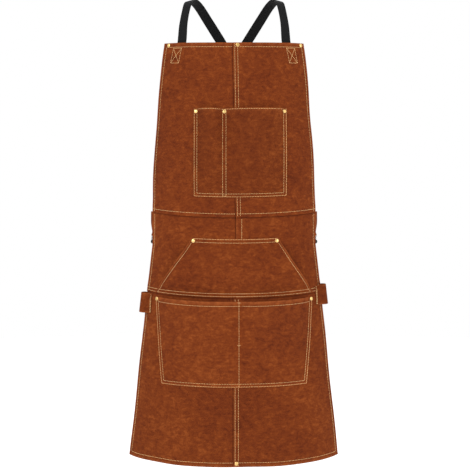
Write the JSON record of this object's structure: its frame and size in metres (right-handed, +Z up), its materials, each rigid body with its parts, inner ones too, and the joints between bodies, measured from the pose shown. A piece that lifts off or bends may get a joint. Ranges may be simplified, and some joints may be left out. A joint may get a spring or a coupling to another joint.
{
  "type": "welding apron",
  "caption": "Full-length split-leather work apron with a bib, chest, hand and tool pockets, side loops, and webbing straps that cross at the back.",
  "frame": {"origin": "midway between the shoulders that carry the apron, at the height where the straps turn over them", "axes": "+Z up, +Y from the apron's front towards the wearer's back, +X to the right of someone looking at the front"},
  "size_m": [0.5462, 0.243, 1.1985],
  "materials": {
    "suede": "brown split-leather suede",
    "webbing": "woven black webbing",
    "nickel": "nickel-plated steel",
    "brass": "polished brass"
  },
  "bodies": {
    "apron": {"bib_panel_left": "suede", "bib_panel_right": "suede", "waist_panel_left": "suede", "waist_panel_right": "suede", "skirt_panel_left": "suede", "skirt_panel_right": "suede", "chest_pocket": "suede", "tool_pocket": "suede", "hand_pocket": "suede", "hammer_loop_left": "suede", "hammer_loop_right": "suede", "waist_tab_left": "suede", "waist_tab_right": "suede", "strap_to_left_ring": "webbing", "strap_to_right_ring": "webbing", "rivet_bib_left_cap": "brass", "rivet_bib_left_washer": "brass", "rivet_bib_centre_cap": "brass", "rivet_bib_centre_washer": "brass", "rivet_bib_right_cap": "brass", "rivet_bib_right_washer": "brass", "rivet_hem_cap": "brass", "rivet_hem_washer": "brass", "rivet_chest_left_cap": "brass", "rivet_chest_left_washer": "brass", "rivet_chest_divider_cap": "brass", "rivet_chest_divider_washer": "brass", "rivet_chest_right_cap": "brass", "rivet_chest_right_washer": "brass", "rivet_hand_left_cap": "brass", "rivet_hand_left_washer": "brass", "rivet_hand_right_cap": "brass", "rivet_hand_right_washer": "brass", "rivet_tool_left_cap": "brass", "rivet_tool_left_washer": "brass", "rivet_tool_right_cap": "brass", "rivet_tool_right_washer": "brass"},
    "ring_left": {"ring_left": "nickel"},
    "ring_right": {"ring_right": "nickel"},
    "adjuster_left": {"slider_left": "nickel", "strap_end_left": "webbing"},
    "adjuster_right": {"slider_right": "nickel", "strap_end_right": "webbing"}
  },
  "joints": [
    {"name": "ring_left_swing", "type": "hinge", "parent": "apron", "child": "ring_left", "pos_m": [-0.2067, -0.00808, -0.612], "axis": [0.5403, -0.8415, 0], "range_deg": [-6, 25]},
    {"name": "ring_right_swing", "type": "hinge", "parent": "apron", "child": "ring_right", "pos_m": [0.2067, -0.00808, -0.612], "axis": [0.5403, 0.8415, 0], "range_deg": [-6, 25]},
    {"name": "adjuster_left_slide", "type": "slide", "parent": "apron", "child": "adjuster_left", "axis": [0, 0, 1], "range_m": [-0.016, 0.012]},
    {"name": "adjuster_right_slide", "type": "slide", "parent": "apron", "child": "adjuster_right", "axis": [0, 0, 1], "range_m": [-0.016, 0.012]}
  ]
}
